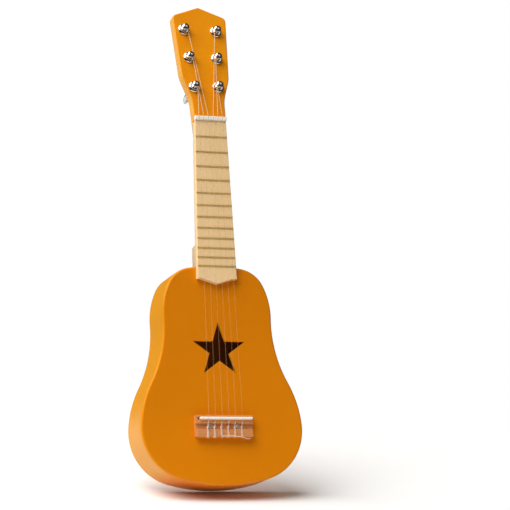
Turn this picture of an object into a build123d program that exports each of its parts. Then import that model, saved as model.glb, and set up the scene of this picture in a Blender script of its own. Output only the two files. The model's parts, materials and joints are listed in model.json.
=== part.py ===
from build123d import *
import math
import os

# A small wooden toy guitar. Frame: +Z runs up the neck, the soundboard faces -Y, X runs to the
# right of someone who looks at the soundboard, and Z = 0 is the lowest point of the rounded butt.
# "Depth" is measured back from the soundboard's face, and "height" forward from it. Millimetres.

# Scale and strings
scale_length = 320.0
saddle_line_z = 72.0
string_diameters = [0.95, 0.90, 0.85, 0.80, 0.75, 0.70]
nut_string_pitch = 5.35
bridge_string_pitch = 7.5

# Body outline: half of it is a chain of tangent arcs, from the butt up to the crown
butt_radius, butt_turn = 181.5, 15.5
hip_radius, hip_turn = 55.9, 79.6
flank_radius, flank_turn = 113.5, 23.0
waist_radius, waist_turn = 133.5, 30.5
chest_radius, chest_turn = 77.5, 27.6
shoulder_radius, shoulder_turn = 31.5, 54.4

# Body build
body_depth = 47.5
plate_thickness = 3.0
rim_wall = 5.0
edge_round = 2.6
star_radius = 30.3
star_centre_z = 142.7
star_waist_share = 0.381966
brace_width = 8.0
brace_height = 6.0
brace_end_gap = 3.0
brace_chamfer = 1.5
upper_brace_z = 187.0
lower_brace_z = 104.0
neck_block_width, neck_block_length = 56.0, 24.0
tail_block_width, tail_block_length = 50.0, 12.0
pad_width, pad_length, pad_thickness, pad_corner = 72.0, 33.0, 5.0, 3.0

# Neck and headstock
nut_length = 4.5
nut_half_width = 17.8
neck_lean = 0.8
board_nut_half_width = 17.5
board_end_half_width = 21.9
board_shoulder_z = 218.5
board_tip_z = 213.0
board_shoulder_flat = 4.0
board_thickness, board_chamfer = 6.0, 0.4
nut_z = saddle_line_z + scale_length
nut_top_z = nut_z + nut_length
shaft_depth_at_nut = 13.5
shaft_depth_at_body = 15.5
shaft_top_z, shaft_depth_at_top = 416.0, 9.0
shaft_bottom_z = 224.0
heel_depth = 38.0
heel_cap_z = 240.0
heel_cove_reach, heel_cove_rise = 23.5, 15.0
dowel_radius, dowel_length = 4.0, 32.0
dowel_x, dowel_depth, dowel_centre_z, dowel_chamfer = 9.0, 12.0, 230.0, 0.8
headstock_tilt = 9.0
headstock_step = 5.4
headstock_thickness = 11.5
headstock_height = 132.0
headstock_corner_height = 120.3
headstock_foot_half_width, headstock_straight = 18.55, 13.5
headstock_foot_lean = 0.65
headstock_corner_round, headstock_apex_round, headstock_edge_round = 6.0, 4.0, 1.6
flare_radius, flare_turn = 50.0, 16.5
flare_run_left, flare_run_right = 17.5, 14.0
cheek_radius, cheek_turn = 35.0, 14.7
headstock_tail, tail_half_width = 36.0, 17.55
ramp_end = 8.0
scarf_back_z = 360.0

# Frets
fret_count = 12
fret_width, fret_crown = 2.4, 0.9
tang_width, tang_depth = 0.6, 1.5
fret_inset = 0.3

# Nut, bridge and saddle
nut_height, nut_seat, nut_edge_round = 8.1, 4.0, 0.9
nut_slot_width = 1.1
nut_slot_floor = 7.25
bridge_half_length = 31.4
bridge_top_z, bridge_bottom_z = 72.4, 49.7
bridge_height, bridge_edge_round, bridge_corner_round = 6.8, 0.7, 1.0
trough_top_z, trough_bottom_z = 63.8, 58.0
trough_floor = 3.6
tie_hole_height, tie_hole_radius = 4.4, 0.65
saddle_z, saddle_thickness = 69.0, 2.6
saddle_floor, saddle_height = 3.5, 10.0
saddle_left, slot_left, saddle_right = -27.6, -29.8, 30.0
saddle_corner_round = 1.2
bridge_screw_x, bridge_screw_length = 15.5, 11.0
bridge_screw_radius, bridge_head_radius, bridge_head_height, bridge_head_round = 1.4, 2.8, 1.8, 1.0
driver_slot_width, driver_slot_length, driver_slot_depth = 0.7, 2.8, 0.8

# Friction tuners: places on the headstock's face, as (x, distance up from the nut)
tuner_places = [(-13.8, 34.3), (-16.3, 69.6), (-19.0, 103.2), (17.5, 102.7), (15.2, 69.8), (13.3, 35.6)]
knob_angles = [-22.0, 4.0, -6.0, 8.0, -4.0, 10.0]
tuner_hole_radius = 4.3
post_radius = 3.3
running_clearance = 0.05
ferrule_flange_radius, ferrule_flange_height, ferrule_flange_round = 6.6, 2.7, 2.2
ferrule_sleeve_depth = 7.0
washer_radius, washer_thickness = 5.6, 1.5
post_waist_radius, post_waist_bottom, post_waist_top = 2.1, 2.9, 7.4
post_cap_radius, post_height, post_cap_chamfer = 3.8, 9.8, 1.0
post_tail, post_tail_chamfer = 24.0, 0.4
string_hole_radius, string_hole_height = 0.55, 6.85
knob_start, knob_collar_end, knob_collar_radius = 13.8, 19.0, 4.6
knob_centre, knob_half_length, knob_half_width, knob_thickness = 24.2, 7.6, 8.6, 6.0
knob_edge_round = 2.2
knob_screw_seat, knob_screw_tip = 29.8, 17.0
knob_screw_radius, knob_head_radius, knob_head_height = 1.1, 2.0, 1.3
knob_recess_gap = 0.2
wrap_turns = 2
wrap_bottom = 4.4

# String routes
string_clearance = 0.05
loop_radius, loop_tail, loop_tail_radius, loop_gap = 0.95, 1.5, 0.57, 0.25
trough_straight = 0.6
saddle_crest_offset, nut_bend_offset = 0.5, 0.1
trough_bend_radius, nut_bend_radius = 2.0, 4.0
string_end_gap = 2.8

# Cuts that go right through a piece are made this long
beyond = 100.0

saddle_round = saddle_thickness / 2
front_reach = saddle_height + string_clearance + string_diameters[0]
soundboard_y = -(body_depth - front_reach) / 2
string_count = len(string_diameters)
nut_string_x = [neck_lean + (i - (string_count - 1) / 2) * nut_string_pitch for i in range(string_count)]
bridge_string_x = [(i - (string_count - 1) / 2) * bridge_string_pitch for i in range(string_count)]
trough_z = (trough_top_z + trough_bottom_z) / 2
screw_places = [(-bridge_screw_x, trough_z), (bridge_screw_x, trough_z)]
dowel_places = [(-dowel_x, soundboard_y + dowel_depth), (dowel_x, soundboard_y + dowel_depth)]


def across(depth):
    """Plane parallel to the soundboard, that deep behind its face, with its normal to the front."""
    return Plane(origin=(0, soundboard_y + depth, 0), x_dir=(1, 0, 0), z_dir=(0, -1, 0))


tilt = math.radians(headstock_tilt)
face_plane = Plane(
    origin=(0, soundboard_y - headstock_step, nut_top_z),
    x_dir=(1, 0, 0),
    z_dir=(0, -math.cos(tilt), math.sin(tilt)),
)


def board_half_width(z):
    """Half the width of the fretboard and the neck under it, at that height up the neck."""
    share = (nut_z - z) / (nut_z - board_shoulder_z)
    return board_nut_half_width + share * (board_end_half_width - board_nut_half_width)


def board_centre(z):
    """How far right of the body's middle the fretboard's middle is at that height: the neck leans a little."""
    return neck_lean * (z - board_shoulder_z) / (nut_z - board_shoulder_z)


def body_face(plane, inset=0.0):
    """The body's outline as a face, brought in by the inset."""
    with BuildSketch(plane) as outline:
        with BuildLine():
            butt = JernArc((0, 0), (1, 0), butt_radius, butt_turn)
            hip = JernArc(butt @ 1, butt % 1, hip_radius, hip_turn)
            flank = JernArc(hip @ 1, hip % 1, flank_radius, flank_turn)
            waist = JernArc(flank @ 1, flank % 1, waist_radius, -waist_turn)
            chest = JernArc(waist @ 1, waist % 1, chest_radius, chest_turn)
            shoulder = JernArc(chest @ 1, chest % 1, shoulder_radius, shoulder_turn)
            turned = butt_turn + hip_turn + flank_turn - waist_turn + chest_turn + shoulder_turn
            crown_turn = 180.0 - turned
            crown_radius = (shoulder @ 1).X / math.sin(math.radians(crown_turn))
            JernArc(shoulder @ 1, shoulder % 1, crown_radius, crown_turn)
            mirror(about=Plane.YZ)
        make_face()
        if inset:
            offset(amount=-inset)
    return outline.sketch


def save(builder, name):
    """Labels a finished piece and writes it."""
    builder.part.label = name
    export_step(builder.part, f"parts/{name}.step")


os.makedirs("parts", exist_ok=True)

# ---------------------------------------------------------------- body
with BuildPart() as top_plate:
    extrude(body_face(across(0)), amount=-plate_thickness)
    fillet(top_plate.faces().sort_by(Axis.Y)[0].edges(), radius=edge_round)
    with BuildSketch(across(0)):
        with BuildLine():
            points = []
            for i in range(10):
                reach = star_radius if i % 2 == 0 else star_radius * star_waist_share
                angle = math.radians(90 + 36 * i)
                points.append((reach * math.cos(angle), star_centre_z + reach * math.sin(angle)))
            Polyline(points, close=True)
        make_face()
    extrude(amount=-plate_thickness, mode=Mode.SUBTRACT)
    with BuildSketch(across(0)):
        with Locations(*screw_places):
            Circle(bridge_screw_radius)
    extrude(amount=-plate_thickness, mode=Mode.SUBTRACT)
save(top_plate, "top_plate")

with BuildPart() as back_plate:
    extrude(body_face(across(body_depth)), amount=plate_thickness)
    fillet(back_plate.faces().sort_by(Axis.Y)[-1].edges(), radius=edge_round)
save(back_plate, "back_plate")

inner_depth = body_depth - 2 * plate_thickness
body_height = body_face(Plane.XZ).bounding_box().size.Z

with BuildPart() as side_rim:
    extrude(body_face(across(plate_thickness)), amount=-inner_depth)
    extrude(body_face(across(plate_thickness), rim_wall), amount=-inner_depth, mode=Mode.SUBTRACT)
    with BuildSketch(Plane.XY.offset(dowel_centre_z - dowel_length / 2)):
        with Locations(*dowel_places):
            Circle(dowel_radius)
    extrude(amount=dowel_length, mode=Mode.SUBTRACT)
save(side_rim, "side_rim")

with BuildPart() as neck_block:
    extrude(body_face(across(plate_thickness), rim_wall), amount=-inner_depth)
    with BuildSketch(across(plate_thickness)):
        with Locations((0, body_height - rim_wall)):
            Rectangle(neck_block_width, 2 * neck_block_length)
    extrude(amount=-inner_depth, mode=Mode.INTERSECT)
    with BuildSketch(Plane.XY.offset(dowel_centre_z - dowel_length / 2)):
        with Locations(*dowel_places):
            Circle(dowel_radius)
    extrude(amount=dowel_length, mode=Mode.SUBTRACT)
save(neck_block, "neck_block")

with BuildPart() as tail_block:
    extrude(body_face(across(plate_thickness), rim_wall), amount=-inner_depth)
    with BuildSketch(across(plate_thickness)):
        with Locations((0, rim_wall)):
            Rectangle(tail_block_width, 2 * tail_block_length)
    extrude(amount=-inner_depth, mode=Mode.INTERSECT)
save(tail_block, "tail_block")

for name, brace_z in (("top_brace_upper", upper_brace_z), ("top_brace_lower", lower_brace_z)):
    with BuildPart() as brace:
        extrude(body_face(across(plate_thickness), rim_wall + brace_end_gap), amount=-brace_height)
        with BuildSketch(across(plate_thickness)):
            with Locations((0, brace_z)):
                Rectangle(2 * beyond, brace_width)
        extrude(amount=-brace_height, mode=Mode.INTERSECT)
        chamfer(brace.faces().sort_by(Axis.Y)[-1].edges().filter_by(Axis.X), length=brace_chamfer)
    save(brace, name)

with BuildPart() as bridge_pad:
    with BuildSketch(across(plate_thickness)):
        with Locations((0, (bridge_top_z + bridge_bottom_z) / 2)):
            RectangleRounded(pad_width, pad_length, pad_corner)
        with Locations(*screw_places):
            Circle(bridge_screw_radius, mode=Mode.SUBTRACT)
    extrude(amount=-pad_thickness)
save(bridge_pad, "bridge_pad")

# ---------------------------------------------------------------- neck and headstock
with BuildPart() as heel:
    with BuildSketch(Plane.XY.offset(shaft_bottom_z)):
        with BuildLine():
            half = board_half_width(body_height)
            bow = EllipticalCenterArc((0, soundboard_y), half, heel_depth, 0, arc_size=180)
            Line(bow @ 0, bow @ 1)
        make_face()
    extrude(amount=heel_cap_z + heel_cove_rise - shaft_bottom_z)
    with BuildSketch(Plane.YZ):
        with BuildLine():
            cove_top = heel_cap_z + heel_cove_rise
            deep = soundboard_y + heel_depth
            cove = EllipticalCenterArc((deep, cove_top), heel_cove_reach, heel_cove_rise, 180, arc_size=90)
            Polyline([cove @ 0, (soundboard_y, cove_top), (soundboard_y, shaft_bottom_z),
                      (deep, shaft_bottom_z), cove @ 1])
        make_face()
    extrude(amount=beyond, both=True, mode=Mode.INTERSECT)

tail_z = nut_top_z - headstock_tail + 1.0

with BuildPart() as headstock_plate:
    with BuildSketch(face_plane):
        with BuildLine():
            for side, flare_run in ((-1, flare_run_left), (1, flare_run_right)):
                foot_x = headstock_foot_lean + side * headstock_foot_half_width
                tail_x = headstock_foot_lean + side * tail_half_width
                foot = Line((tail_x, -headstock_tail), (foot_x, headstock_straight))
                flare = JernArc(foot @ 1, foot % 1, flare_radius, -side * flare_turn)
                run = Line(flare @ 1, flare @ 1 + (flare % 1) * flare_run)
                cheek = JernArc(run @ 1, run % 1, cheek_radius, side * cheek_turn)
                climb = headstock_corner_height - (cheek @ 1).Y
                slope = (cheek % 1).X / (cheek % 1).Y
                corner = ((cheek @ 1).X + climb * slope, headstock_corner_height)
                Polyline([cheek @ 1, corner, (0, headstock_height)])
                Line((headstock_foot_lean, -headstock_tail), foot @ 0)
        make_face()
        fillet(vertices().group_by(Axis.Y)[-2], radius=headstock_corner_round)
        fillet(vertices().group_by(Axis.Y)[-1], radius=headstock_apex_round)
    extrude(amount=-headstock_thickness)
    front_and_back = faces().filter_by(face_plane).edges()
    above_tail = front_and_back.filter_by(lambda e: e.center().Z > tail_z + headstock_corner_round)
    fillet(above_tail, radius=headstock_edge_round)
    # under the nut it is cut down to the nut's seat, and under the fretboard to the neck's front plane
    with BuildSketch(Plane.YZ):
        with BuildLine():
            Polyline([(soundboard_y, nut_z - beyond), (soundboard_y, nut_z),
                      (soundboard_y - nut_seat, nut_z), (soundboard_y - nut_seat, nut_top_z),
                      (soundboard_y - beyond, nut_top_z), (soundboard_y - beyond, nut_z - beyond)],
                     close=True)
        make_face()
    extrude(amount=beyond, both=True, mode=Mode.SUBTRACT)
    # its back ramps away into the neck
    ramp_high = face_plane.from_local_coords(Vector(0, ramp_end, -headstock_thickness))
    with BuildSketch(Plane.YZ):
        with BuildLine():
            Polyline([(soundboard_y, tail_z), (ramp_high.Y, ramp_high.Z),
                      (ramp_high.Y + beyond, ramp_high.Z), (ramp_high.Y + beyond, tail_z - beyond),
                      (soundboard_y, tail_z - beyond)], close=True)
        make_face()
    extrude(amount=beyond, both=True, mode=Mode.SUBTRACT)

shaft_sections = [
    (shaft_bottom_z, shaft_depth_at_body),
    (nut_z, shaft_depth_at_nut),
    (shaft_top_z, shaft_depth_at_top),
]

with BuildPart() as neck_blank:
    for section_z, depth in shaft_sections:
        with BuildSketch(Plane.XY.offset(section_z)):
            with BuildLine():
                half = board_half_width(section_z)
                middle = (board_centre(section_z), soundboard_y)
                belly = EllipticalCenterArc(middle, half, depth, 0, arc_size=180)
                Line(belly @ 0, belly @ 1)
            make_face()
    loft(ruled=True)
    # above the nut, nothing stands in front of the headstock's face
    with BuildSketch(face_plane):
        Rectangle(2 * beyond, 2 * headstock_height)
    extrude(amount=beyond, mode=Mode.SUBTRACT)
    add(heel.part)
    add(headstock_plate.part)
    extrude(body_face(across(0)), amount=-beyond, mode=Mode.SUBTRACT)
    with BuildSketch(face_plane):
        with Locations(*tuner_places):
            Circle(tuner_hole_radius)
    extrude(amount=-beyond, mode=Mode.SUBTRACT)
    with BuildSketch(Plane.XY.offset(dowel_centre_z - dowel_length / 2)):
        with Locations(*dowel_places):
            Circle(dowel_radius)
    extrude(amount=dowel_length, mode=Mode.SUBTRACT)

# the painted part is all that is above the fretboard's end in front, and above the slanted scarf behind it
with BuildPart() as painted_region:
    with BuildSketch(Plane.YZ):
        with BuildLine():
            above = nut_top_z + 2 * beyond
            scarf_top = (soundboard_y, nut_z)
            scarf_foot = (soundboard_y + shaft_depth_at_nut, scarf_back_z)
            Polyline([(soundboard_y - beyond, nut_z), scarf_top, scarf_foot,
                      (soundboard_y + beyond, scarf_back_z), (soundboard_y + beyond, above),
                      (soundboard_y - beyond, above)], close=True)
        make_face()
    extrude(amount=beyond, both=True)

with BuildPart() as headstock:
    add(neck_blank.part)
    add(painted_region.part, mode=Mode.INTERSECT)
save(headstock, "headstock")

with BuildPart() as neck:
    add(neck_blank.part)
    add(painted_region.part, mode=Mode.SUBTRACT)
save(neck, "neck")

with BuildPart() as neck_dowels:
    with BuildSketch(Plane.XY.offset(dowel_centre_z - dowel_length / 2)):
        with Locations(*dowel_places):
            Circle(dowel_radius)
    extrude(amount=dowel_length)
    chamfer(neck_dowels.edges().filter_by(GeomType.CIRCLE), length=dowel_chamfer)
save(neck_dowels, "neck_dowels")

# ---------------------------------------------------------------- fretboard, frets and nut
fret_heights = [saddle_line_z + scale_length * 2 ** (-n / 12) for n in range(1, fret_count + 1)]

with BuildPart() as fretboard:
    with BuildSketch(across(0)):
        with BuildLine():
            edge = board_end_half_width
            flat_end = edge - board_shoulder_flat
            Polyline([(neck_lean - board_nut_half_width, nut_z), (neck_lean + board_nut_half_width, nut_z),
                      (edge, board_shoulder_z), (flat_end, board_shoulder_z), (0, board_tip_z),
                      (-flat_end, board_shoulder_z), (-edge, board_shoulder_z)], close=True)
        make_face()
    extrude(amount=board_thickness)
    # the end at the nut stays square
    chamfer(fretboard.faces().sort_by(Axis.Y)[0].edges().group_by(Axis.Z)[:-1], length=board_chamfer)
    with BuildSketch(across(-board_thickness)):
        for z in fret_heights:
            with Locations((0, z)):
                Rectangle(beyond, tang_width)
    extrude(amount=-tang_depth, mode=Mode.SUBTRACT)
save(fretboard, "fretboard")

for number, z in enumerate(fret_heights, 1):
    half = board_half_width(z) - fret_inset
    crown_y = soundboard_y - board_thickness
    with BuildPart() as fret:
        with BuildSketch(Plane.YZ.offset(board_centre(z) - half)):
            with BuildLine():
                bead = EllipticalCenterArc((crown_y, z), fret_crown, fret_width / 2, 90, arc_size=180)
                Line(bead @ 0, bead @ 1)
            make_face()
            with Locations((crown_y + tang_depth / 2, z)):
                Rectangle(tang_depth, tang_width)
        extrude(amount=2 * half)
    save(fret, f"fret_{number:02d}")

with BuildPart() as nut:
    with BuildSketch(across(-nut_seat)):
        with Locations((neck_lean, nut_z + nut_length / 2)):
            Rectangle(2 * nut_half_width, nut_length)
    extrude(amount=nut_height - nut_seat)
    fillet(nut.faces().sort_by(Axis.Y)[0].edges(), radius=nut_edge_round)
    with BuildSketch(across(-nut_slot_floor)):
        with Locations(*[(x, nut_z + nut_length / 2) for x in nut_string_x]):
            Rectangle(nut_slot_width, 2 * nut_length)
    extrude(amount=nut_height, mode=Mode.SUBTRACT)
save(nut, "nut")

# ---------------------------------------------------------------- bridge, saddle and their screws
with BuildPart() as bridge:
    with BuildSketch(Plane.YZ.offset(-bridge_half_length)):
        with BuildLine():
            face = soundboard_y - bridge_height
            floor = soundboard_y - trough_floor
            Polyline([(soundboard_y, bridge_bottom_z), (face, bridge_bottom_z), (face, trough_bottom_z),
                      (floor, trough_bottom_z), (floor, trough_top_z), (face, trough_top_z),
                      (face, bridge_top_z), (soundboard_y, bridge_top_z)], close=True)
        make_face()
    extrude(amount=2 * bridge_half_length)
    fillet(bridge.edges().filter_by(Axis.X).group_by(Axis.Y)[0], radius=bridge_edge_round)
    ends = bridge.faces().filter_by(Axis.X)
    fillet(ends.edges().filter_by(Axis.Y).group_by(Axis.Z)[0], radius=bridge_corner_round)
    with BuildSketch(across(-saddle_floor)):
        slot_length = bridge_half_length - slot_left
        with Locations((slot_left + slot_length / 2, saddle_z)):
            Rectangle(slot_length, saddle_thickness)
    extrude(amount=saddle_height, mode=Mode.SUBTRACT)
    with BuildSketch(Plane.XY.offset(bridge_bottom_z)):
        with Locations(*[(x, soundboard_y - tie_hole_height) for x in bridge_string_x]):
            Circle(tie_hole_radius)
    extrude(amount=trough_bottom_z - bridge_bottom_z, mode=Mode.SUBTRACT)
    with BuildSketch(across(0)):
        with Locations(*screw_places):
            Circle(bridge_screw_radius)
    extrude(amount=trough_floor, mode=Mode.SUBTRACT)
save(bridge, "bridge")

with BuildPart() as saddle:
    with BuildSketch(Plane.YZ.offset(saddle_left)):
        with BuildLine():
            root = soundboard_y - saddle_floor
            neckline = soundboard_y - saddle_height + saddle_round
            top = CenterArc((neckline, saddle_z), saddle_round, 90, 180)
            Polyline([top @ 0, (root, saddle_z + saddle_round), (root, saddle_z - saddle_round), top @ 1])
        make_face()
    extrude(amount=saddle_right - saddle_left)
    fillet(saddle.faces().sort_by(Axis.X)[0].edges().sort_by(Axis.Y)[0], radius=saddle_corner_round)
save(saddle, "saddle")

with BuildPart() as bridge_screws:
    with BuildSketch(across(-trough_floor)):
        with Locations(*screw_places):
            Circle(bridge_head_radius)
    extrude(amount=bridge_head_height)
    rims = bridge_screws.faces().sort_by(Axis.Y)[0:2].edges()
    fillet(rims, radius=bridge_head_round)
    with BuildSketch(across(-trough_floor)):
        with Locations(*screw_places):
            Circle(bridge_screw_radius)
    extrude(amount=-bridge_screw_length)
    with BuildSketch(across(-trough_floor - bridge_head_height + driver_slot_depth)):
        with Locations(*screw_places):
            Rectangle(driver_slot_length, driver_slot_width)
            Rectangle(driver_slot_width, driver_slot_length)
    extrude(amount=bridge_head_height, mode=Mode.SUBTRACT)
save(bridge_screws, "bridge_screws")

# ---------------------------------------------------------------- tuners
with BuildPart() as tuner_ferrules:
    with BuildSketch(face_plane):
        with Locations(*tuner_places):
            Circle(ferrule_flange_radius)
    extrude(amount=ferrule_flange_height)
    domes = tuner_ferrules.edges().filter_by(
        lambda e: e.geom_type == GeomType.CIRCLE and face_plane.to_local_coords(e.center()).Z > 1
    )
    fillet(domes, radius=ferrule_flange_round)
    with BuildSketch(face_plane):
        with Locations(*tuner_places):
            Circle(tuner_hole_radius)
    extrude(amount=-ferrule_sleeve_depth)
    with BuildSketch(face_plane):
        with Locations(*tuner_places):
            Circle(post_radius + running_clearance)
    extrude(amount=beyond, both=True, mode=Mode.SUBTRACT)
save(tuner_ferrules, "tuner_ferrules")

with BuildPart() as tuner_back_washers:
    with BuildSketch(face_plane.offset(-headstock_thickness)):
        with Locations(*tuner_places):
            Circle(washer_radius)
            Circle(post_radius + running_clearance, mode=Mode.SUBTRACT)
    extrude(amount=-washer_thickness)
save(tuner_back_washers, "tuner_back_washers")


def tuner_plane(index, offset=0.0):
    """Plane across a tuner's axis, that far in front of the headstock's face."""
    x, up = tuner_places[index]
    origin = face_plane.from_local_coords(Vector(x, up, offset))
    return Plane(origin=origin, x_dir=(1, 0, 0), z_dir=face_plane.z_dir)


def axial_plane(index, angle):
    """Plane through a tuner's axis: its x is across the knob, and its y runs to the front."""
    thin = face_plane.x_dir.rotate(Axis((0, 0, 0), face_plane.z_dir), angle)
    return Plane(origin=tuner_plane(index).origin, x_dir=face_plane.z_dir.cross(thin), z_dir=thin)


for index in range(string_count):
    number = index + 1
    diameter = string_diameters[index]
    with BuildPart() as post:
        with BuildSketch(axial_plane(index, 0)):
            with BuildLine():
                Polyline([(0, -post_tail), (post_radius - post_tail_chamfer, -post_tail),
                          (post_radius, -post_tail + post_tail_chamfer),
                          (post_radius, post_waist_bottom), (post_waist_radius, post_waist_bottom),
                          (post_waist_radius, post_waist_top),
                          (post_cap_radius, post_waist_top + post_cap_chamfer),
                          (post_cap_radius, post_height - post_cap_chamfer),
                          (post_cap_radius - post_cap_chamfer, post_height), (0, post_height)], close=True)
            make_face()
        revolve(axis=Axis(tuner_plane(index).origin, face_plane.z_dir))
        with BuildSketch(axial_plane(index, 0)):
            with Locations((0, string_hole_height)):
                Circle(string_hole_radius)
        extrude(amount=2 * post_radius, both=True, mode=Mode.SUBTRACT)
        with BuildSketch(tuner_plane(index, -post_tail)):
            Circle(knob_screw_radius)
        extrude(amount=post_tail - knob_screw_tip, mode=Mode.SUBTRACT)
    save(post, f"tuner_post_{number}")

    with BuildPart() as wrap:
        # one closed ring with the outer shape of the turns round the post's waist
        with BuildSketch(axial_plane(index, 0)):
            with BuildLine():
                middle = post_waist_radius + diameter / 2
                wrap_top = wrap_bottom + diameter * wrap_turns
                for turn in range(wrap_turns):
                    CenterArc((middle, wrap_bottom + diameter * (turn + 0.5)), diameter / 2, -90, 180)
                Polyline([(middle, wrap_top), (post_waist_radius, wrap_top),
                          (post_waist_radius, wrap_bottom), (middle, wrap_bottom)])
            make_face()
        revolve(axis=Axis(tuner_plane(index).origin, face_plane.z_dir))
    save(wrap, f"string_wrap_{number}")

    with BuildPart() as paddle:
        with BuildSketch(axial_plane(index, knob_angles[index]).offset(-knob_thickness / 2)):
            with Locations((0, -knob_centre)):
                Ellipse(knob_half_width, knob_half_length)
        extrude(amount=knob_thickness)
        fillet(edges(), radius=knob_edge_round)

    with BuildPart() as knob:
        with BuildSketch(tuner_plane(index, -knob_collar_end)):
            Circle(knob_collar_radius)
        extrude(amount=knob_collar_end - knob_start)
        add(paddle.part)
        with BuildSketch(tuner_plane(index, -knob_start)):
            Circle(post_radius)
        extrude(amount=-(post_tail - knob_start), mode=Mode.SUBTRACT)
        with BuildSketch(tuner_plane(index, -post_tail)):
            Circle(knob_screw_radius)
        extrude(amount=-beyond, mode=Mode.SUBTRACT)
        with BuildSketch(tuner_plane(index, -knob_screw_seat)):
            Circle(knob_head_radius + knob_recess_gap)
        extrude(amount=-beyond, mode=Mode.SUBTRACT)
    save(knob, f"tuner_knob_{number}")

    with BuildPart() as knob_screw:
        with BuildSketch(tuner_plane(index, -knob_screw_seat)):
            Circle(knob_head_radius)
        extrude(amount=-knob_head_height)
        with BuildSketch(tuner_plane(index, -knob_screw_seat)):
            Circle(knob_screw_radius)
        extrude(amount=knob_screw_seat - knob_screw_tip)
    save(knob_screw, f"knob_screw_{number}")

# ---------------------------------------------------------------- strings
for index in range(string_count):
    diameter = string_diameters[index]
    radius = diameter / 2
    nut_x = nut_string_x[index]
    bridge_x = bridge_string_x[index]
    post_x, post_up = tuner_places[index]
    side = -1 if post_x < 0 else 1

    # the string leaves the inner side of its post, along a line tangent to its lowest turn
    bend_z = nut_top_z + nut_bend_offset
    start = face_plane.to_local_coords(Vector(nut_x, soundboard_y - nut_slot_floor - radius, bend_z))
    away = Vector(post_x - start.X, post_up - start.Y)
    swing = math.degrees(math.asin((post_waist_radius + radius) / away.length))
    reach = away.length * math.cos(math.radians(swing)) - string_end_gap
    heading = away.normalized().rotate(Axis.Z, -side * -swing)
    leave_height = wrap_bottom + radius
    drop = (start.Z - leave_height) * reach / (reach + string_end_gap)
    post_end = face_plane.from_local_coords(
        Vector(start.X + heading.X * reach, start.Y + heading.Y * reach, start.Z - drop)
    )

    top = soundboard_y - bridge_height - radius - string_clearance
    hole = soundboard_y - tie_hole_height
    below = bridge_bottom_z - radius - string_clearance
    crest = soundboard_y - saddle_height - radius - string_clearance
    over = trough_bottom_z + radius + loop_gap
    route = [
        (bridge_x, top + loop_tail, over),
        (bridge_x, top, over),
        (bridge_x, top, below),
        (bridge_x, hole, below),
        (bridge_x, hole, trough_bottom_z + trough_straight),
        (bridge_x, crest, saddle_z - saddle_crest_offset),
        (nut_x, soundboard_y - nut_slot_floor - radius - string_clearance, bend_z),
        post_end,
    ]
    saddle_bend = saddle_round + radius + string_clearance
    bends = [loop_tail_radius, loop_radius, loop_radius, trough_bend_radius, saddle_bend, nut_bend_radius]
    with BuildPart() as string:
        with BuildLine():
            path = FilletPolyline(*route, radius=bends)
        with BuildSketch(Plane(origin=path @ 0, z_dir=path % 0)):
            Circle(radius)
        sweep()
    save(string, f"string_{index + 1}")
    print(f"string_{index + 1} length {path.length:.1f}, sweep/section volume ratio "
          f"{string.part.volume / (path.length * math.pi * radius ** 2):.4f}")
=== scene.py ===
"""Looks of a small wooden toy guitar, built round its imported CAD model, in metres in its frame."""

import json
import math

import bmesh
import bpy
from mathutils import Matrix, Vector


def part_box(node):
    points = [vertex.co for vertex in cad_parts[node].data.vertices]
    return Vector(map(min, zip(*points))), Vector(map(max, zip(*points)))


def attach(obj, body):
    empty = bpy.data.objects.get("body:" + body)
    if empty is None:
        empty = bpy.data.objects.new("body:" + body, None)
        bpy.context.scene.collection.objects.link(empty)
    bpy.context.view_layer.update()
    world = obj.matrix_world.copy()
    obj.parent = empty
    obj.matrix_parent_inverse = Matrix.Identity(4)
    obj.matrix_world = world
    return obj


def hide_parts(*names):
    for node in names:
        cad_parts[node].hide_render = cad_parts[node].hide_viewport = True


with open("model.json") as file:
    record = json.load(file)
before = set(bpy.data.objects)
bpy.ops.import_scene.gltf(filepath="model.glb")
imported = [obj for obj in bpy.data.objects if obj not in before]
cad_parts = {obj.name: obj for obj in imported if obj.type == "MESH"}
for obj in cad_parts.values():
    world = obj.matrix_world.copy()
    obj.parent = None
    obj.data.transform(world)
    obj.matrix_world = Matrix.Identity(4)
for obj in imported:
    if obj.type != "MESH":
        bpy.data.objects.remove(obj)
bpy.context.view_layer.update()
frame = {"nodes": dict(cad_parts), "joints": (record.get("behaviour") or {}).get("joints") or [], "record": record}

nodes = frame["nodes"]
soundboard_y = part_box("top_plate")[0].y
back_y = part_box("back_plate")[1].y
nut_top_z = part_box("nut")[1].z


# ---------------------------------------------------------------- camera and light
LENS, SENSOR, FAR_CLIP = 169.4, 36.0, 100.0
CAMERA_AT = Vector((-0.8331, soundboard_y - 2.3358, -0.3261))
CAMERA_RIGHT = Vector((0.9388, -0.3407, -0.0512))
CAMERA_UP = Vector((-0.0295, -0.2276, 0.9733))

FLOOR_TILT = math.radians(22.0)
FLOOR_RADIUS, FLOOR_SIDES = 0.60, 96

# the key light is a broad sun, given by its way in from the object's middle
KEY_FROM, KEY_TARGET_Z = Vector((-0.55, -0.34, 0.76)), 0.25
KEY_STRENGTH, KEY_ANGLE, KEY_COLOR = 3.35, math.radians(62.0), (1.0, 0.985, 0.96)

# the square lamps: name, place, height that it is aimed at, side, power and colour
WHITE, PEACH = (1.0, 1.0, 1.0), (1.0, 0.88, 0.80)
LAMPS = [
    ("softbox", Vector((-0.75, -0.75, 1.15)), 0.45, 0.7, 3.8, WHITE),
    ("side", Vector((-0.75, 0.32, 0.85)), 0.35, 0.6, 1.3, WHITE),
    ("card", Vector((0.64, -1.55, 1.58)), 0.45, 0.75, 1.3, PEACH),
]

# the world's level as it lights surfaces, as gloss mirrors it, and as the camera sees it
AMBIENT, MIRRORED, BACKDROP = 0.17, 0.045, 1.0


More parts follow.
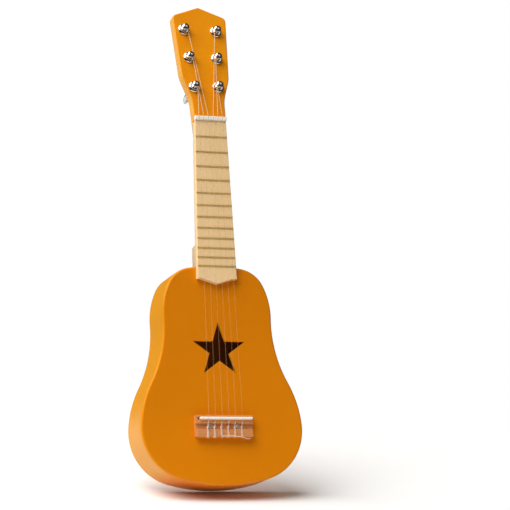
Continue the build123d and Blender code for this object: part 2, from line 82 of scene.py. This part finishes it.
def make_camera():
    camera = bpy.data.objects.new("camera", bpy.data.cameras.new("camera"))
    camera.data.lens = LENS
    camera.data.sensor_width = SENSOR
    camera.data.clip_end = FAR_CLIP
    axes = Matrix((CAMERA_RIGHT, CAMERA_UP, CAMERA_RIGHT.cross(CAMERA_UP))).transposed()
    camera.matrix_world = Matrix.Translation(CAMERA_AT) @ axes.to_4x4()
    bpy.context.scene.collection.objects.link(camera)
    bpy.context.scene.camera = camera


def hang(light, at, target_z):
    """Puts a light there, pointing at that height on the object."""
    lamp = bpy.data.objects.new(light.name, light)
    turn = (Vector((0.0, soundboard_y, target_z)) - at).to_track_quat("-Z", "Y")
    lamp.matrix_world = Matrix.Translation(at) @ turn.to_matrix().to_4x4()
    bpy.context.scene.collection.objects.link(lamp)


def make_lights():
    key = bpy.data.lights.new("key", "SUN")
    key.energy = KEY_STRENGTH
    key.angle = KEY_ANGLE
    key.color = KEY_COLOR
    hang(key, Vector((0.0, soundboard_y, KEY_TARGET_Z)) + KEY_FROM, KEY_TARGET_Z)
    for name, at, target_z, size, power, color in LAMPS:
        lamp = bpy.data.lights.new(name, "AREA")
        lamp.size = size
        lamp.energy = power
        lamp.color = color
        hang(lamp, at, target_z)


def make_world():
    """A white surround: dim as a light, dimmer in gloss, and plain white behind the object."""
    world = bpy.data.worlds.new("studio")
    world.use_nodes = True
    bpy.context.scene.world = world
    tree = world.node_tree
    background = tree.nodes["Background"]
    background.inputs["Color"].default_value = (*WHITE, 1.0)
    path = tree.nodes.new("ShaderNodeLightPath")
    lit = tree.nodes.new("ShaderNodeMapRange")
    lit.inputs["To Min"].default_value = AMBIENT
    lit.inputs["To Max"].default_value = MIRRORED
    tree.links.new(path.outputs["Is Glossy Ray"], lit.inputs["Value"])
    level = tree.nodes.new("ShaderNodeMapRange")
    level.inputs["To Max"].default_value = BACKDROP
    tree.links.new(lit.outputs["Result"], level.inputs["To Min"])
    tree.links.new(path.outputs["Is Camera Ray"], level.inputs["Value"])
    tree.links.new(level.outputs["Result"], background.inputs["Strength"])


# ---------------------------------------------------------------- materials
# the paint takes a painted sheen where a surface turns from the front or back, and painted shade where it faces
# down
SIDE_SHEEN_FADE, UNDER_SHADE_FADE = (0.15, 0.75), (-0.97, -0.80)
# worn metal's colour, as a share of the clean metal's
WORN_SHARE = 0.86
# the nylon's opacity, raised as painted highlight on the ties and past the nut; the ties' paler colour, also
# painted highlight; and the lengths over which they change, in metres
CLEAR, TIE_HIGHLIGHT_OPACITY, HEAD_HIGHLIGHT_OPACITY = 0.055, 0.46, 0.50
TIE_HIGHLIGHT_COLOR = (1.0, 0.86, 0.76, 1.0)
TIE_FADE, HEAD_FADE = 0.004, 0.008
# the way that each piece of wood's grain runs
ALONG_Z, ALONG_X = (1.0, 1.0, 0.06), (0.06, 1.0, 1.0)
# painted shade: the darker, redder paint underneath the body
UNDERSIDE_SHADE = (0.76, 0.185, 0.002, 1.0)


class Shader:
    """A new Principled material, with short calls that add and join its nodes."""

    def __init__(self, name, **sockets):
        self.material = bpy.data.materials.new(name)
        self.material.use_nodes = True
        self.tree = self.material.node_tree
        self.surface = self.tree.nodes["Principled BSDF"]
        self.fill(self.surface, sockets)
        self.place = self.add("ShaderNodeTexCoord").outputs["Object"]

    def fill(self, node, values):
        """Sets or joins a node's inputs, given by number or by name with _ for each space."""
        for key, value in values.items():
            socket = node.inputs[key.replace("_", " ") if isinstance(key, str) else key]
            if isinstance(value, bpy.types.NodeSocket):
                self.tree.links.new(value, socket)
            else:
                socket.default_value = value

    def add(self, kind, inputs=None, **settings):
        node = self.tree.nodes.new(kind)
        for key, value in settings.items():
            setattr(node, key, value)
        self.fill(node, inputs or {})
        return node

    def noise(self, scale, stretch=(1.0, 1.0, 1.0), detail=3.0, distortion=0.0):
        """Noise over the object's own space, 0 to 1, with features about 1/scale metres across."""
        placed = self.add("ShaderNodeMapping", {"Vector": self.place, "Scale": stretch})
        inputs = {"Vector": placed.outputs["Vector"], "Scale": scale}
        inputs.update({"Detail": detail, "Distortion": distortion})
        return self.add("ShaderNodeTexNoise", inputs).outputs["Fac"]

    def spread(self, value, low, high, start=0.3, end=0.7):
        """The value's range from start to end, brought to low and high."""
        inputs = {"Value": value, "From Min": start, "From Max": end}
        inputs.update({"To Min": low, "To Max": high})
        return self.add("ShaderNodeMapRange", inputs).outputs["Result"]

    def blend(self, share, first, second):
        """A mix of two colours. A Mix node's colour sockets go by number: 0, 6 and 7 in, 2 out."""
        inputs = {0: share, 6: first, 7: second}
        return self.add("ShaderNodeMix", inputs, data_type="RGBA").outputs[2]

    def part(self, vector, axis):
        """One of a vector's three parts, X, Y or Z."""
        return self.add("ShaderNodeSeparateXYZ", {"Vector": vector}).outputs[axis]

    def bump(self, height, distance, below=None):
        """Relief of that height in metres, laid over the relief below."""
        inputs = {"Height": height, "Distance": distance}
        if below is not None:
            inputs["Normal"] = below
        return self.add("ShaderNodeBump", inputs).outputs["Normal"]

    def color(self, value):
        self.fill(self.surface, {"Base Color": value})

    def roughness(self, value):
        self.fill(self.surface, {"Roughness": value})

    def normal(self, value):
        self.fill(self.surface, {"Normal": value})


def painted_wood(name, color, shade, side=None, under=None):
    """Satin paint over wood: a faint unevenness of the coat, with the grain just showing through.

    The coat may take a painted sheen in another colour on the sides, and painted shade in another colour
    underneath.
    """
    s = Shader(name, IOR=1.5, Specular_Tint=(1.0, 0.75, 0.2, 1.0), Sheen_Weight=0.12,
               Sheen_Roughness=0.35, Sheen_Tint=(1.0, 0.80, 0.25, 1.0))
    coat = s.blend(s.spread(s.noise(14.0, detail=2.0), 0.0, 1.0), color, shade)
    facing = s.add("ShaderNodeTexCoord").outputs["Normal"]
    # painted sheen: the side colour where the surface turns away from the front or back
    if side:
        flatness = s.add("ShaderNodeMath", {0: s.part(facing, "Y")}, operation="ABSOLUTE")
        coat = s.blend(s.spread(flatness.outputs[0], 1.0, 0.0, *SIDE_SHEEN_FADE), coat, side)
    # painted shade: the underneath colour where the surface faces down
    if under:
        coat = s.blend(s.spread(s.part(facing, "Z"), 1.0, 0.0, *UNDER_SHADE_FADE), coat, under)
    s.color(coat)
    s.roughness(s.spread(s.noise(220.0, (1.0, 1.0, 0.15)), 0.36, 0.44))
    grain = s.noise(420.0, (1.0, 1.0, 0.03), detail=4.0)
    peel = s.noise(950.0, detail=1.0)
    s.normal(s.bump(peel, 0.00003, below=s.bump(grain, 0.00006)))
    return s.material


def bare_wood(name, light, dark, fleck, stretch, roughness=0.5):
    """Clear-coated wood: broad bands, fine grain and short darker flecks, all along one way."""
    s = Shader(name, IOR=1.45)
    bands = s.noise(38.0, stretch, detail=3.0, distortion=0.4)
    fine = s.noise(520.0, stretch, detail=4.0)
    short = [min(1.0, 4.0 * share) for share in stretch]
    flecks = s.spread(s.noise(900.0, short, detail=1.0), 0.0, 0.5, 0.60, 0.68)
    base = s.blend(s.spread(bands, 0.0, 1.0), light, dark)
    base = s.blend(s.spread(fine, 0.0, 0.35), base, dark)
    s.color(s.blend(flecks, base, fleck))
    s.roughness(s.spread(fine, roughness, roughness + 0.12))
    s.normal(s.bump(flecks, -0.00005, below=s.bump(fine, 0.00004)))
    return s.material


def metal(name, color, low, high, metallic=1.0):
    """Polished or drawn metal, with faint wear in its gloss."""
    s = Shader(name, Metallic=metallic)
    worn = [WORN_SHARE * c for c in color[:3]] + [1.0]
    s.color(s.blend(s.spread(s.noise(300.0), 0.0, 1.0), color, worn))
    s.roughness(s.spread(s.noise(700.0, (1.0, 1.0, 0.4), detail=4.0), low, high))
    s.normal(s.bump(s.noise(1400.0, detail=2.0), 0.00001))
    return s.material


def swirled(shader, color, shade, roughness):
    """Moulded plastic's gloss and relief for a shader; returns its faintly swirled colour."""
    shader.roughness(shader.spread(shader.noise(500.0), roughness, roughness + 0.08))
    shader.normal(shader.bump(shader.noise(800.0, detail=2.0), 0.00002))
    swirl = shader.spread(shader.noise(160.0, detail=3.0, distortion=1.5), 0.0, 1.0)
    return shader.blend(swirl, color, shade)


def plastic(name, color, shade, roughness):
    s = Shader(name)
    s.color(swirled(s, color, shade, roughness))
    return s.material


def clear_nylon(name, color, shade, roughness):
    """Clear line, more opaque as painted highlight on the bridge's ties and past the nut, and paler on the ties.
    """
    s = Shader(name, IOR=1.4)
    height = s.part(s.place, "Z")
    saddle_z, nut_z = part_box("saddle")[0].z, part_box("nut")[0].z
    at_ties = saddle_z - TIE_FADE, saddle_z
    base = swirled(s, color, shade, roughness)
    # painted highlight: paler ties, and a more opaque string on the ties and past the nut
    s.color(s.blend(s.spread(height, 1.0, 0.0, *at_ties), base, TIE_HIGHLIGHT_COLOR))
    tied = s.spread(height, TIE_HIGHLIGHT_OPACITY, CLEAR, *at_ties)
    headed = s.spread(height, 0.0, HEAD_HIGHLIGHT_OPACITY - CLEAR, nut_z, nut_z + HEAD_FADE)
    opacity = s.add("ShaderNodeMath", {0: tied, 1: headed}, operation="ADD").outputs[0]
    s.fill(s.surface, {"Alpha": opacity})
    return s.material


MATERIALS = {
    # body paint: a yellower painted sheen on the sides, and painted shade underneath
    "body_paint": painted_wood(
        "body_paint", (0.775, 0.228, 0.001, 1.0), (0.745, 0.216, 0.001, 1.0),
        side=(0.70, 0.277, 0.004, 1.0), under=UNDERSIDE_SHADE),
    # headstock paint: a pale peach painted sheen on its sides
    "headstock_paint": painted_wood(
        "headstock_paint", (0.90, 0.312, 0.001, 1.0), (0.84, 0.262, 0.001, 1.0),
        side=(0.94, 0.48, 0.12, 1.0)),
    # inside wood, darker than bare plywood: partly its own colour, partly painted shade for the dim inside of the
    # body
    "inside_wood": bare_wood(
        "inside_wood", (0.42, 0.24, 0.12, 1.0), (0.32, 0.17, 0.08, 1.0),
        (0.22, 0.11, 0.05, 1.0), ALONG_Z, roughness=0.8),
    "neck_wood": bare_wood(
        "neck_wood", (0.70, 0.55, 0.38, 1.0), (0.64, 0.485, 0.315, 1.0),
        (0.62, 0.42, 0.25, 1.0), ALONG_Z),
    "fretboard_wood": bare_wood(
        "board_wood", (1.0, 0.71, 0.38, 1.0), (0.96, 0.65, 0.32, 1.0),
        (0.80, 0.51, 0.25, 1.0), ALONG_Z),
    "bridge_wood": bare_wood(
        "bridge_wood", (0.76, 0.31, 0.095, 1.0), (0.63, 0.235, 0.07, 1.0),
        (0.42, 0.14, 0.05, 1.0), ALONG_X, roughness=0.4),
    "fret_metal": metal("fret_brass", (0.74, 0.51, 0.19, 1.0), 0.45, 0.60, metallic=0.45),
    "tuner_metal": metal("chrome", (0.86, 0.82, 0.77, 1.0), 0.10, 0.20),
    "screw_metal": metal("screw_steel", (0.74, 0.68, 0.61, 1.0), 0.40, 0.52, metallic=0.8),
    "white_plastic": plastic(
        "white_plastic", (1.0, 0.96, 0.88, 1.0), (0.98, 0.93, 0.84, 1.0), 0.30),
    "knob_plastic": plastic(
        "knob_plastic", (0.80, 0.82, 0.80, 1.0), (0.66, 0.70, 0.68, 1.0), 0.18),
    "nylon": clear_nylon("nylon", (0.98, 0.74, 0.44, 1.0), (0.95, 0.66, 0.35, 1.0), 0.24),
}

for part in frame["record"]["subparts"]:
    mesh = nodes[part["node"]].data
    mesh.materials.clear()
    mesh.materials.append(MATERIALS[part["material_slot"]])
# the rim's paint is a little yellower than the flat plates': a painted sheen for the lit sides' gloss, with
# painted shade underneath
nodes["side_rim"].data.materials[0] = painted_wood(
    "side_sheen_paint", (0.72, 0.285, 0.004, 1.0), (0.69, 0.268, 0.004, 1.0), under=UNDERSIDE_SHADE)


# ---------------------------------------------------------------- pieces built here
# sizes are in millimetres; heights are in front of the soundboard, or of the headstock's face
MM = 0.001
STRING_DIAMETERS = [0.95, 0.90, 0.85, 0.80, 0.75, 0.70]
STRING_COUNT = len(STRING_DIAMETERS)
NUT_PITCH, BRIDGE_PITCH = 5.35, 7.5
NUT_SLOT_FLOOR, NUT_LEAD, TIE_HOLE_HEIGHT = 7.25, 3.0, 4.4
# the trough's lower edge above the bridge's own; a string's crest below the saddle's middle, and
# how far it clears it
TROUGH_BOTTOM, CREST_BELOW, CREST_LIFT = 8.3, 0.5, 0.05
# places along a straight stretch, as shares of it: close to its bent ends, and few between
LONG_SHARES, HEAD_SHARES = (0.006, 0.02, 0.5, 0.98), (0.05, 0.12, 0.5, 0.9)

WRAP_BOTTOM, WRAP_TURNS, WRAP_STEPS = 4.4, 2, 24
POST_WAIST, POST_HOLE, HOLE_RADIUS, HOLE_REACH, HOLE_SIDES = 2.1, 6.85, 0.5, 3.0, 20
# a post's outline from its foot up to its neck, as (radius, height)
POST_PROFILE = [
    (2.9, -24.0), (3.3, -23.6), (3.3, 2.6), (3.1, 2.85), (2.3, 2.9), (POST_WAIST, 3.1),
    (POST_WAIST, 6.9), (2.3, 7.3), (3.3, 7.55),
]
LIP_MIDDLE, LIP_HEIGHT, LIP_ROUND, LIP_DEGREES = 3.1, 8.25, 0.7, range(-90, 1, 30)
CAP_RADIUS, CAP_EDGE, CAP_RISE, CAP_DEGREES = 3.8, 8.3, 1.45, range(0, 86, 5)
POST_SIDES, KNOB_SIDES = 48, 32
# how far each knob is turned from upright, in degrees
KNOB_ANGLES = [-22.0, 4.0, -6.0, 8.0, -4.0, 10.0]

# stations along a knob: distance behind the headstock's face, half width, half thickness
KNOB_STATIONS = [
    (13.8, 3.5, 3.5), (13.8, 4.2, 4.2), (14.3, 4.6, 4.6), (17.2, 4.6, 4.6), (18.4, 4.2, 3.9),
    (19.5, 4.7, 3.3), (21.0, 6.7, 3.0), (22.7, 8.0, 2.9), (24.4, 8.6, 2.9), (26.3, 8.4, 2.9),
    (28.2, 7.3, 2.85), (29.8, 5.7, 2.75), (31.0, 4.2, 2.6), (31.6, 3.0, 2.4), (31.8, 2.5, 2.3),
    (31.6, 2.2, 2.2), (29.8, 2.15, 2.15),
]


def lay_out(piece, body, slot, stands_for):
    """Links a new piece, gives it its material, hangs it on the body that it rides on, and hides the CAD part that
    it stands for.
    """
    bpy.context.scene.collection.objects.link(piece)
    piece.data.materials.append(MATERIALS[slot])
    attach(piece, body)
    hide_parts(stands_for)


def tube(name, points, radius, order=4):
    """A round tube along one smooth curve, whose control points are given in metres."""
    curve = bpy.data.curves.new(name, "CURVE")
    curve.dimensions = "3D"
    curve.bevel_depth = radius
    curve.bevel_resolution = 5
    curve.use_fill_caps = True
    curve.resolution_u = 6
    spline = curve.splines.new("NURBS")
    spline.points.add(len(points) - 1)
    for point, place in zip(spline.points, points):
        point.co = (*place, 1.0)
    spline.order_u = order
    spline.use_endpoint_u = True
    spline.use_smooth = True
    return bpy.data.objects.new(name, curve)


def skin(name, sections, smooth_angle=40.0):
    """A closed mesh through rings of points, capped at both ends."""
    mesh = bpy.data.meshes.new(name)
    bm = bmesh.new()
    rings = [[bm.verts.new(point) for point in section] for section in sections]
    for near, far in zip(rings, rings[1:]):
        for i in range(len(near)):
            j = (i + 1) % len(near)
            bm.faces.new((near[i], near[j], far[j], far[i]))
    bm.faces.new(rings[0][::-1])
    bm.faces.new(rings[-1])
    bmesh.ops.recalc_face_normals(bm, faces=bm.faces)
    for face in bm.faces:
        face.smooth = True
    bm.to_mesh(mesh)
    bm.free()
    mesh.set_sharp_from_angle(angle=math.radians(smooth_angle))
    return bpy.data.objects.new(name, mesh)


class Tuner:
    """One tuner's place: its axis points to the front, and "up" runs up the headstock's face."""

    def __init__(self, joint):
        self.body = joint["child"]
        self.origin = Vector(joint["pos_m"])
        self.axis = Vector(joint["axis"]).normalized()
        self.across = Vector((1.0, 0.0, 0.0))
        self.up = self.axis.cross(self.across)

    def at(self, x, up, height):
        """A point from millimetres across, up and in front of the face, measured from the axis."""
        return self.origin + MM * (x * self.across + up * self.up + height * self.axis)

    def flat(self, point):
        """How far across and up a point is from the axis, in millimetres."""
        way = (point - self.origin) / MM
        return Vector((way.dot(self.across), way.dot(self.up)))


def board_point(x, height, z):
    """A point in front of the soundboard, in millimetres except that z is in metres."""
    return Vector((x * MM, soundboard_y - height * MM, z))


def arc(middle, height, radius, rise, degrees):
    """Points (radius, height) of a round or flattened arc, at those angles about its middle."""
    angles = [math.radians(degree) for degree in degrees]
    return [(middle + radius * math.cos(a), height + rise * math.sin(a)) for a in angles]


def ring_angles(sides):
    """The angles of a ring's points."""
    return [math.tau * i / sides for i in range(sides)]


def drill(piece, cutter):
    """Cuts the cutter out of the piece, and drops the cutter."""
    for obj in (piece, cutter):
        bpy.context.scene.collection.objects.link(obj)
    cut = piece.modifiers.new("hole", "BOOLEAN")
    cut.object = cutter
    cut.solver = "EXACT"
    bpy.context.view_layer.update()
    graph = bpy.context.evaluated_depsgraph_get()
    drilled = bpy.data.meshes.new_from_object(piece.evaluated_get(graph))
    name = piece.name
    for obj in (piece, cutter):
        bpy.data.objects.remove(obj)
    return bpy.data.objects.new(name, drilled)


def make_post(index, tuner):
    """A turned post with a domed cap, and the cross hole that takes the string's end."""
    profile = POST_PROFILE + arc(LIP_MIDDLE, LIP_HEIGHT, LIP_ROUND, LIP_ROUND, LIP_DEGREES)
    profile += arc(0.0, CAP_EDGE, CAP_RADIUS, CAP_RISE, CAP_DEGREES)
    rings = []
    for radius, height in profile:
        rings.append([tuner.at(radius * math.cos(a), radius * math.sin(a), height)
                      for a in ring_angles(POST_SIDES)])
    bore = []
    for x in (-HOLE_REACH, HOLE_REACH):
        bore.append([tuner.at(x, HOLE_RADIUS * math.cos(a), POST_HOLE + HOLE_RADIUS * math.sin(a))
                     for a in ring_angles(HOLE_SIDES)])
    post = drill(skin(f"post_{index + 1}", rings, 50.0), skin("bore", bore))
    lay_out(post, tuner.body, "tuner_metal", f"tuner_post_{index + 1}")


def make_knob(index, tuner):
    """A collar that flattens into an oval tab, turned to its own angle."""
    turn = Matrix.Rotation(math.radians(KNOB_ANGLES[index]), 3, tuner.axis)
    thin = turn @ tuner.across
    wide = tuner.axis.cross(thin)
    sections = []
    for behind, half_width, half_thickness in KNOB_STATIONS:
        middle = tuner.origin - behind * MM * tuner.axis
        sections.append([middle + MM * (half_thickness * math.cos(a) * thin
                                        + half_width * math.sin(a) * wide)
                         for a in ring_angles(KNOB_SIDES)])
    knob = skin(f"knob_{index + 1}", sections)
    smooth = knob.modifiers.new("smooth", "SUBSURF")
    smooth.levels = smooth.render_levels = 1
    lay_out(knob, tuner.body, "knob_plastic", f"tuner_knob_{index + 1}")


def make_wrap(index, tuner, start_angle, sense):
    """The turns round a post: a flat one, then a rising one, and the end that goes in its hole."""
    radius = STRING_DIAMETERS[index] / 2
    ring = POST_WAIST + radius
    whole = WRAP_TURNS * WRAP_STEPS
    # the last turn stops in line with the hole, which runs across the headstock
    last = start_angle + sense * math.tau * WRAP_TURNS
    extra = (-last * sense) % math.pi
    lead = max(1, round(extra / (math.tau / WRAP_STEPS)))
    points = []
    for i in range(whole + lead + 1):
        turns = min(i, whole) / WRAP_STEPS
        angle = start_angle + sense * math.tau * turns
        height = WRAP_BOTTOM + radius + 2 * radius * max(0.0, turns - 1.0)
        if i > whole:
            done = (i - whole) / lead
            angle += sense * extra * done
            height += (POST_HOLE - height) * done
        points.append(tuner.at(ring * math.cos(angle), ring * math.sin(angle), height))
    # in at the hole's near mouth, through the post, and a little way out of the far one
    side = round(math.cos(last + sense * extra))
    for out in (1.4, -0.6, -1.6, -ring - 0.6):
        points.append(tuner.at(side * out, 0.0, POST_HOLE))
    piece = tube(f"wrap_{index + 1}", points, radius * MM, order=3)
    lay_out(piece, tuner.body, "nylon", f"string_wrap_{index + 1}")


def make_string(index, tuner):
    """One string: from its tie on the bridge, over the saddle and the nut, to its post."""
    diameter = STRING_DIAMETERS[index]
    radius = diameter / 2
    place = index - (STRING_COUNT - 1) / 2
    nut_middle = (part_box("nut")[0].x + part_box("nut")[1].x) / 2 / MM
    nut_x, bridge_x = nut_middle + place * NUT_PITCH, place * BRIDGE_PITCH
    bridge_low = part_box("bridge")[0]
    saddle_low, saddle_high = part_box("saddle")
    block = (soundboard_y - bridge_low.y) / MM + radius
    crest = (soundboard_y - saddle_low.y) / MM + radius + CREST_LIFT
    saddle_z = (saddle_low.z + saddle_high.z) / 2 - CREST_BELOW * MM
    edge_z, trough_z = bridge_low.z, bridge_low.z + TROUGH_BOTTOM * MM

    # the tie, from the end of the string on: back over the tie block, round the string in the
    # trough, over the block again, round its lower edge and in through the hole; points are
    # (across, height, up), and two strings end in a longer tail than the others' stubs
    beside = -1.05 * diameter
    tails = {
        2: [(21.0, 6.6 + diameter, -0.1), (14.0, block + diameter, 0.8),
            (6.0, block + diameter, 0.9), (0.2, block + 0.4 * diameter, 0.3)],
        5: [(9.6, 4.6, -1.2), (7.0, 5.8, -2.4), (3.6, 7.0, -1.6), (0.6, 7.6, -0.6)],
    }
    stub = [(-2.0, block - 1.7, -0.5), (-1.6, block - 0.6, -0.7), (-1.3, block + 0.25, -0.2)]
    back = [(beside, block, z) for z in (1.2, 4.0, 6.8)]
    around = [(beside - 0.3, block + 0.5, 0.3), (-0.7, block + 0.7, 1.4), (0.9, block + 0.1, 2.2),
              (1.5, 5.4, 3.0), (0.3, 4.4, 3.4), (-1.1, 4.9, 2.7), (-1.0, 6.6, 1.2),
              (-0.2, block + 0.15, 0.0)]
    down = [(0.0, block, z) for z in (6.6, 4.0, 1.4)]
    down += [(0.0, block + 0.1, -0.7), (0.0, 5.6, -1.1)]
    down += [(0.0, TIE_HOLE_HEIGHT, z) for z in (-0.7, 0.8)]
    through = [(0.0, TIE_HOLE_HEIGHT, z) for z in (-1.2, -0.2, 0.5)]
    rise = [(0.0, crest - 1.1, -1.9), (0.0, crest, 0.0)]
    stretches = [(edge_z, tails.get(index, stub) + back), (trough_z, around), (edge_z, down),
                 (trough_z, through), (saddle_z, rise)]
    path = [board_point(bridge_x + x, height, base_z + z * MM)
            for base_z, stretch in stretches for x, height, z in stretch]

    # the long stretch, the slot in the nut, and the tangent to the post's lowest turn
    nut = board_point(nut_x, NUT_SLOT_FLOOR + radius, nut_top_z)
    start = tuner.flat(nut)
    away = -start
    swing = math.asin((POST_WAIST + radius) / away.length)
    reach = away.length * math.cos(swing)
    sense = 1.0 if tuner.origin.x < 0 else -1.0
    turned = Matrix.Rotation(-sense * swing, 2) @ away.normalized()
    touch = start + turned * reach
    end = tuner.at(touch.x, touch.y, WRAP_BOTTOM + radius)
    saddle_top = path[-1]
    path += [saddle_top + (nut - saddle_top) * share for share in LONG_SHARES]
    path += [board_point(nut_x, NUT_SLOT_FLOOR + radius, nut_top_z - NUT_LEAD * MM), nut]
    path += [nut + (end - nut) * share for share in HEAD_SHARES]
    path += [end, end]
    string = tube(f"string_{index + 1}_tied", path, radius * MM)
    lay_out(string, "root", "nylon", f"string_{index + 1}")
    make_wrap(index, tuner, math.atan2(touch.y, touch.x), sense)


def make_floor():
    """A pale round table top under the butt's back edge, tilted as the guitar leans back on it."""
    mesh = bpy.data.meshes.new("floor")
    bm = bmesh.new()
    bmesh.ops.create_circle(bm, cap_ends=True, segments=FLOOR_SIDES, radius=FLOOR_RADIUS)
    bm.to_mesh(mesh)
    bm.free()
    floor = bpy.data.objects.new("floor", mesh)
    tilt = Matrix.Rotation(FLOOR_TILT, 4, "X")
    floor.matrix_world = Matrix.Translation((0.0, back_y, 0.0)) @ tilt
    bpy.context.scene.collection.objects.link(floor)
    s = Shader("floor", Roughness=0.95, Specular_IOR_Level=0.1)
    s.color(s.blend(s.noise(40.0), (0.93, 0.93, 0.93, 1.0), (0.91, 0.91, 0.91, 1.0)))
    mesh.materials.append(s.material)


for number, joint in enumerate(frame["joints"]):
    tuner = Tuner(joint)
    make_knob(number, tuner)
    make_post(number, tuner)
    make_string(number, tuner)

bpy.context.scene.view_settings.view_transform = "Standard"
make_camera()
make_lights()
make_world()
make_floor()
